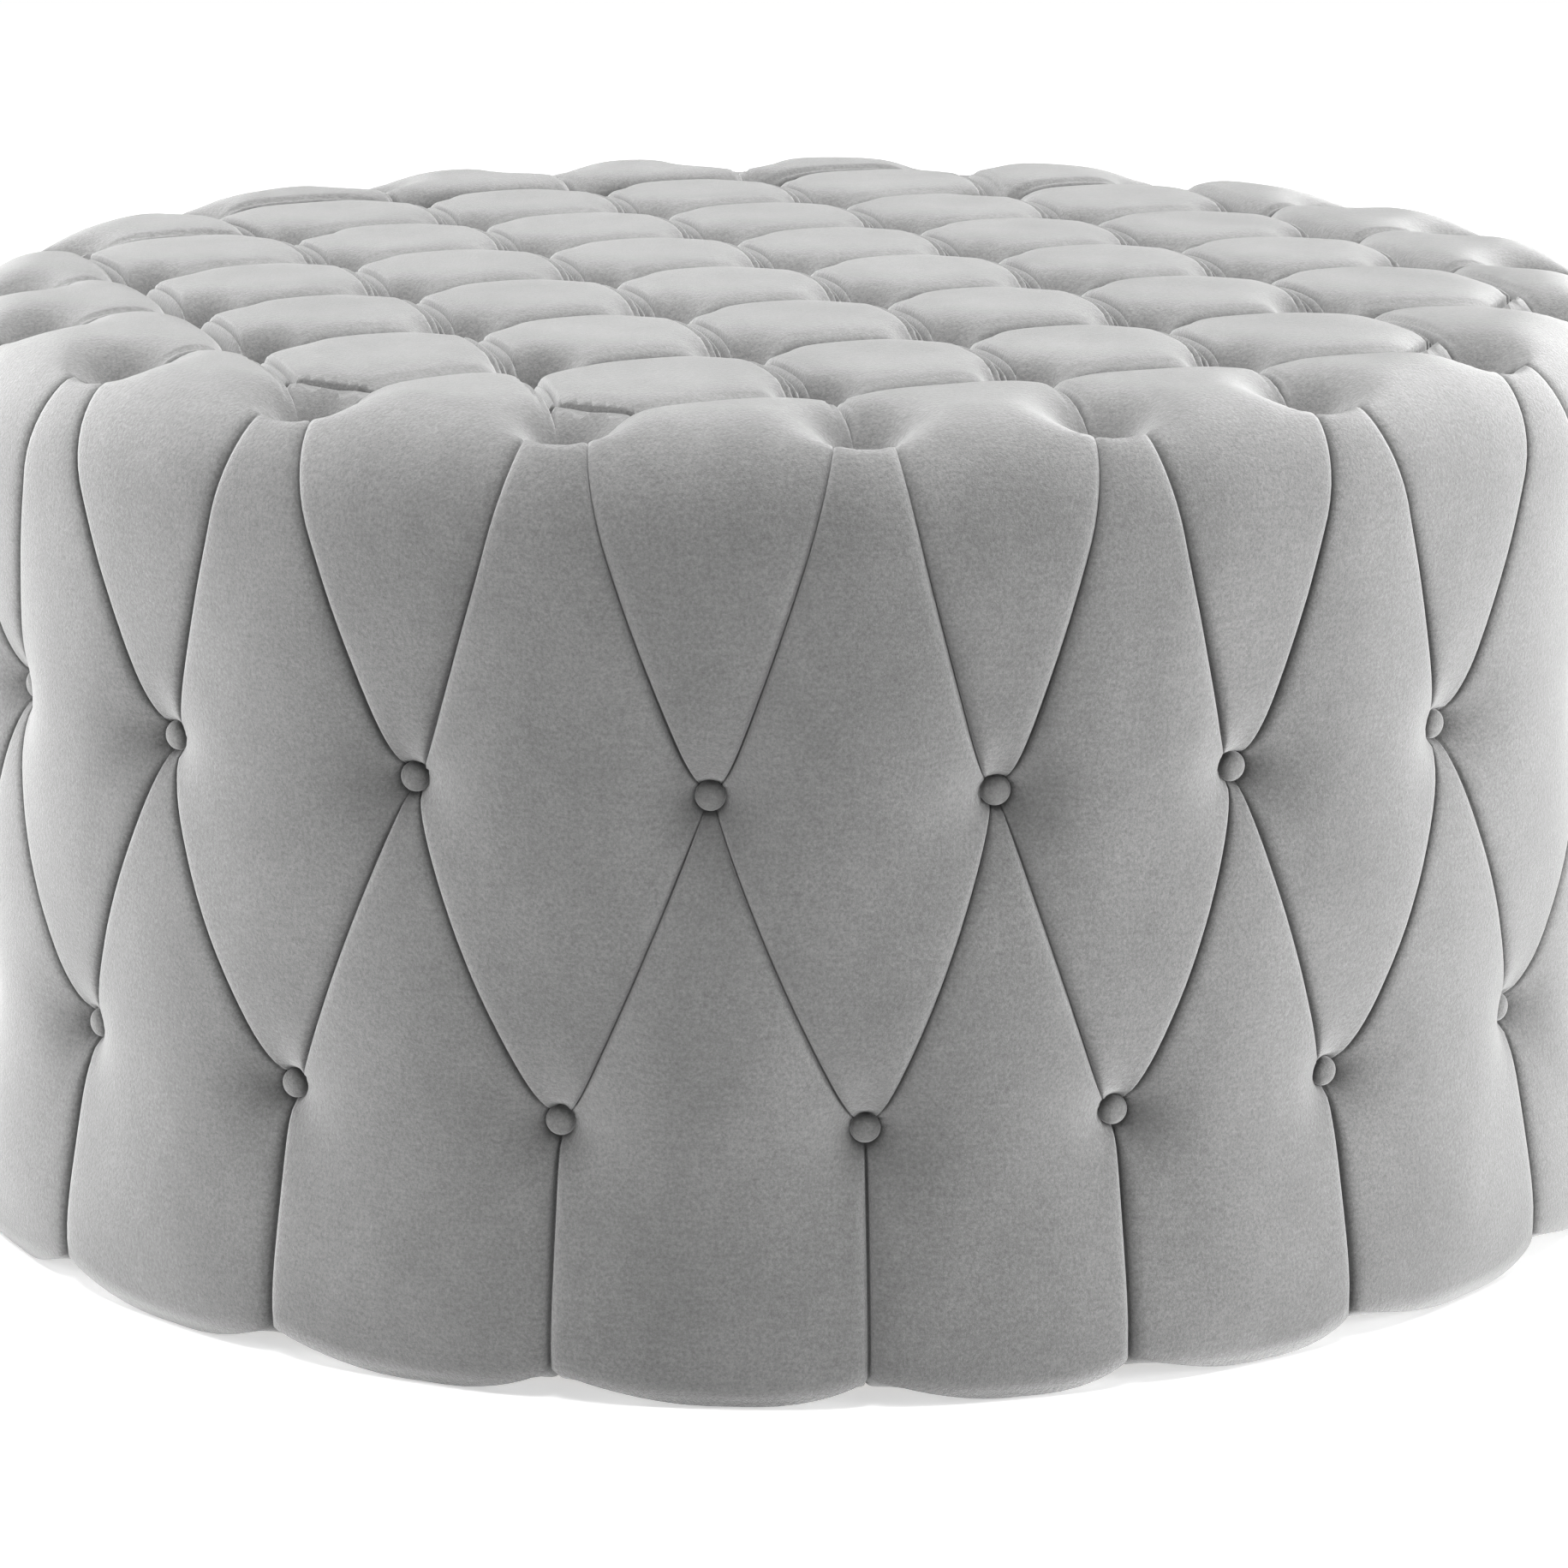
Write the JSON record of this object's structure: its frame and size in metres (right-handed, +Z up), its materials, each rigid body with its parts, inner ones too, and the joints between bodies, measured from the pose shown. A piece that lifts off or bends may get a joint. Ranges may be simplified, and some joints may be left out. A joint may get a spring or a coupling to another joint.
{
  "type": "ottoman with storage",
  "caption": "Low round deep-buttoned velvet ottoman on hidden glides, with a tufted lid that lifts straight off a round storage well.",
  "frame": {"origin": "on the floor, on the axis of symmetry", "axes": "+Z up; X and Y along the rows of the button lattice on top"},
  "size_m": [0.864, 0.864, 0.457],
  "materials": {
    "velvet": "light grey short-pile velvet",
    "plywood": "bare plywood",
    "softwood": "planed softwood",
    "foam": "cut upholstery foam",
    "lining": "black woven lining on board",
    "zinc_steel": "zinc plated",
    "nylon_tie": "waxed nylon tufting twine",
    "fibre_washer": "vulcanised fibre",
    "dust_cloth": "black nonwoven cloth",
    "black_plastic": "moulded plastic",
    "felt": "pressed felt",
    "webbing": "woven webbing"
  },
  "bodies": {
    "body": {"body_cover": "velvet", "row_1_buttons": "velvet", "row_2_buttons": "velvet", "rim_buttons": "velvet", "base_board": "plywood", "side_hoop": "plywood", "top_ring": "plywood", "post_1": "softwood", "post_2": "softwood", "post_3": "softwood", "post_4": "softwood", "post_5": "softwood", "post_6": "softwood", "post_7": "softwood", "post_8": "softwood", "side_foam": "foam", "rim_foam": "foam", "storage_liner": "lining", "storage_floor": "lining", "base_screws": "zinc_steel", "top_ring_screws": "zinc_steel", "hem_staples": "zinc_steel", "side_button_ties": "nylon_tie", "rim_button_ties": "nylon_tie", "side_tie_washers": "fibre_washer", "rim_tie_washers": "fibre_washer", "dust_cover": "dust_cloth", "glides": "black_plastic", "ledge_felt": "felt"},
    "lid": {"lid_board": "plywood", "lid_foam": "foam", "lid_cover": "velvet", "lid_buttons": "velvet", "lid_button_ties": "nylon_tie", "lid_tie_washers": "fibre_washer", "locating_ring": "plywood", "locating_ring_screws": "zinc_steel", "lid_lining": "lining", "pull_tabs": "webbing"}
  },
  "joints": [
    {"name": "lid_lift", "type": "slide", "parent": "body", "child": "lid", "axis": [0, 0, 1], "range_m": [0, 0.3]}
  ]
}
